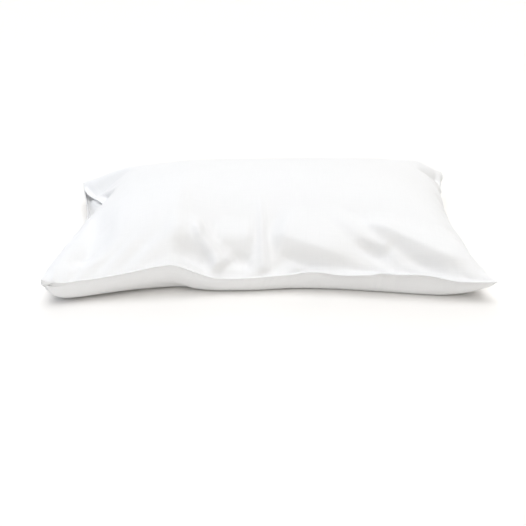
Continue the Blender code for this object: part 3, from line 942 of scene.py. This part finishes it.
def studio_floor():
    """White seamless paper, unrolled over the floor and up the wall: matt, with a faint fibrous tooth."""
    material, tree, shader = new_material("white seamless paper")
    place = add_node(tree, "ShaderNodeTexCoord", {}).outputs["Object"]
    tooth = add_node(tree, "ShaderNodeTexNoise", {"Vector": place, "Scale": 1 / PAPER_TOOTH, "Detail": 2.0})
    roughness = add_node(
        tree, "ShaderNodeMapRange",
        {"Value": tooth.outputs["Fac"], "From Min": TOOTH_LOW, "From Max": TOOTH_HIGH,
         "To Min": PAPER_SMOOTH, "To Max": PAPER_ROUGH},
    )
    shader.inputs["Base Color"].default_value = linear(PAPER_TONE)
    shader.inputs["Specular IOR Level"].default_value = PAPER_SPECULAR
    tree.links.new(roughness.outputs[0], shader.inputs["Roughness"])
    return material


# ---- Stage ----
def make_floor():
    """A round studio floor whose rim sweeps up into a wall on all sides."""
    turn = np.linspace(0, math.pi / 2, COVE_STEPS)
    sweep = COVE_INNER + COVE_SWEEP * np.sin(turn)
    radius = np.concatenate([[COVE_HOLE], sweep, [COVE_INNER + COVE_SWEEP]])
    height = np.concatenate([[0], COVE_SWEEP * (1 - np.cos(turn)), [COVE_TOP]]) - FLOOR_GAP
    around = np.linspace(0, 2 * math.pi, COVE_SIDES, endpoint=False)
    points = np.stack([
        radius[:, None] * np.cos(around),
        radius[:, None] * np.sin(around),
        np.repeat(height[:, None], COVE_SIDES, axis=1),
    ], axis=-1)
    numbers = np.arange(len(radius) * COVE_SIDES).reshape(len(radius), COVE_SIDES)
    numbers = np.concatenate([numbers, numbers[:, :1]], axis=1)
    floor = new_piece("floor", points.reshape(-1, 3), quads(numbers))
    floor.data.materials.append(studio_floor())


def light_room():
    """Even light from all sides, as a white room throws it back."""
    world = bpy.data.worlds.new("studio")
    world.use_nodes = True
    background = world.node_tree.nodes["Background"].inputs
    background["Color"].default_value = (1, 1, 1, 1)
    background["Strength"].default_value = ROOM_LIGHT
    bpy.context.scene.world = world


def add_lamp(light, to_light):
    """Adds a lamp that shines on the pillow from a direction."""
    lamp = bpy.data.objects.new(light.name, light)
    lamp.rotation_euler = to_light.to_track_quat("Z", "Y").to_euler()
    bpy.context.scene.collection.objects.link(lamp)
    return lamp


def add_soft_box(name, around, up, share, colour):
    """Adds one row of SOFT_BOXES as a broad sun."""
    sun = bpy.data.lights.new(name, "SUN")
    sun.energy = math.pi * share
    sun.color = linear(colour)[:3]
    sun.angle = math.radians(SOFT_BOX_WIDTH)
    turn, tilt = math.radians(around), math.radians(up)
    add_lamp(sun, Vector((
        math.sin(turn) * math.cos(tilt), -math.cos(turn) * math.cos(tilt), math.sin(tilt)
    )))


def add_window():
    """The window's cool light on the mouth's end. The camera doesn't see the window itself."""
    window = bpy.data.lights.new("window", "AREA")
    window.size = WINDOW_SIZE
    window.energy = WINDOW_POWER
    window.color = linear(WINDOW_COLOUR)[:3]
    lamp = add_lamp(window, Vector(WINDOW_AT))
    lamp.location = WINDOW_AT
    lamp.visible_camera = False


def make_stage():
    """The floor, the lamps and the plain view of the studio."""
    make_floor()
    light_room()
    for row in SOFT_BOXES:
        add_soft_box(*row)
    add_window()
    bpy.context.scene.view_settings.view_transform = "Standard"


# ---- Camera ----
CAMERA_TURN = math.radians(-1.18)     # the pillow's length against the picture's width
CAMERA_BACK = 1.725                   # in front of the pillow's middle
CAMERA_SIDE = -0.007
CAMERA_HEIGHT = 0.719
CAMERA_DOWN = math.radians(23.54)
CAMERA_LENS, CAMERA_SENSOR = 69.69, 36.0    # mm


def make_camera():
    """Stands the camera where the photo was taken from."""
    data = bpy.data.cameras.new("camera")
    data.lens, data.sensor_width = CAMERA_LENS, CAMERA_SENSOR
    camera = bpy.data.objects.new("camera", data)
    turn = Matrix.Rotation(CAMERA_TURN, 4, "Z")
    at = turn @ Vector((CAMERA_SIDE, -CAMERA_BACK, CAMERA_HEIGHT))
    camera.matrix_world = (
        Matrix.Translation(at) @ turn @ Matrix.Rotation(math.pi / 2 - CAMERA_DOWN, 4, "X")
    )
    bpy.context.scene.collection.objects.link(camera)
    bpy.context.scene.camera = camera


make_camera()
make_stage()
case, upper, lower, u, v = make_case()
case.data.materials.append(bleached_percale())
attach(case, "root")
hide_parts("pillowcase")

stitches = make_stitches(upper, lower, u, v)
stitches.data.materials.append(sewing_thread())
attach(stitches, "root")
